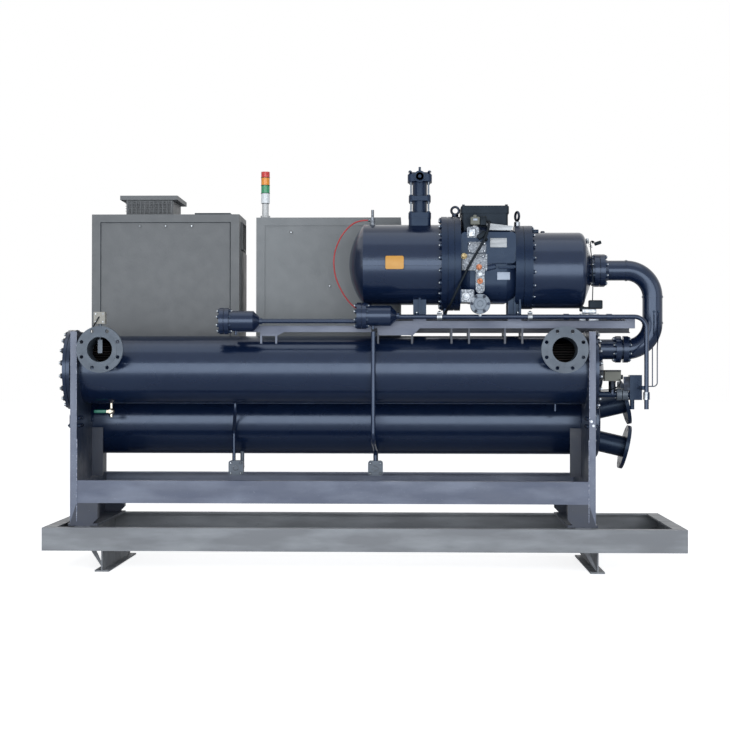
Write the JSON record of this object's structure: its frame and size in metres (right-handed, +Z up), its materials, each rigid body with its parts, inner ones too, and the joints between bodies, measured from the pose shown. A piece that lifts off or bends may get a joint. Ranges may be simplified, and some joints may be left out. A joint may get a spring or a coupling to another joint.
{
  "type": "water-cooled screw chiller",
  "caption": "Water-cooled screw chiller on a steel tray: screw compressor, evaporator with side water flanges, condenser with end nozzles and control cabinets.",
  "frame": {"origin": "centre of the footprint at floor level, under the base beams", "axes": "+X along the vessels towards the suction end, -Y towards the water flanges, +Z up"},
  "size_m": [3.9, 1.2, 2.536],
  "materials": {
    "frame_paint": "satin navy machine paint",
    "tray_paint": "satin blue-grey paint, worn",
    "rail_paint": "satin blue-grey paint",
    "vessel_paint": "satin navy machine paint",
    "flange_paint": "pale steel-blue primer",
    "machine_paint": "satin navy machine paint over castings",
    "bare_casting": "bare cast metal",
    "valve_metal": "nickel-plated brass",
    "lever_green": "green sleeve",
    "switch_housing": "beige plastic",
    "tube_copper": "dull copper tube",
    "cabinet_paint": "textured grey powder coat",
    "signal_lens": "coloured lenses",
    "cable_red": "red sleeve",
    "cable_black": "black rubber"
  },
  "bodies": {
    "chiller": {"angle_valve_left": "bare_casting", "angle_valve_right": "bare_casting", "base_beam_left": "tray_paint", "base_beam_right": "tray_paint", "black_cable": "cable_black", "cabinet_carrier": "frame_paint", "cabinet_cover": "cabinet_paint", "cabinet_vent": "cabinet_paint", "capillary_tubes": "vessel_paint", "compressor_casing": "machine_paint", "compressor_feet": "rail_paint", "compressor_rails": "rail_paint", "condenser_box_left": "vessel_paint", "condenser_box_right": "vessel_paint", "condenser_nozzle_lower": "vessel_paint", "condenser_nozzle_upper": "vessel_paint", "condenser_shell": "vessel_paint", "control_cabinet": "cabinet_paint", "discharge_valve": "vessel_paint", "drain_valve_body": "valve_metal", "end_frame_left": "frame_paint", "end_frame_right": "frame_paint", "evaporator_head_left": "vessel_paint", "evaporator_head_right": "vessel_paint", "evaporator_shell": "vessel_paint", "evaporator_tubes": "tube_copper", "expansion_valve": "bare_casting", "filter_pipe": "vessel_paint", "filter_pot_left": "vessel_paint", "filter_pot_right": "vessel_paint", "filter_rail": "rail_paint", "flow_switch": "switch_housing", "liquid_pipe": "vessel_paint", "lower_rail_front": "rail_paint", "lower_rail_rear": "rail_paint", "motor_housing": "machine_paint", "oil_separator": "machine_paint", "oil_tube_left": "vessel_paint", "oil_tube_right": "vessel_paint", "rail_brackets": "frame_paint", "red_cable": "cable_red", "service_valve": "bare_casting", "stack_light": "signal_lens", "starter_cabinet": "cabinet_paint", "suction_pipe": "vessel_paint", "terminal_box": "machine_paint", "tray_cross_left": "tray_paint", "tray_cross_right": "tray_paint", "tray_front_beam": "tray_paint", "tray_left_beam": "tray_paint", "tray_rear_beam": "tray_paint", "tray_right_beam": "tray_paint", "upper_frame_left": "frame_paint", "upper_frame_right": "frame_paint", "water_nozzle_left": "flange_paint", "water_nozzle_right": "flange_paint"},
    "drain_lever_body": {"drain_lever": "lever_green"}
  },
  "joints": [
    {"name": "drain_lever_turn", "type": "hinge", "parent": "chiller", "child": "drain_lever_body", "pos_m": [-1.602, -0.242, 0.977], "axis": [0, -1, 0], "range_deg": [0, 90]}
  ]
}
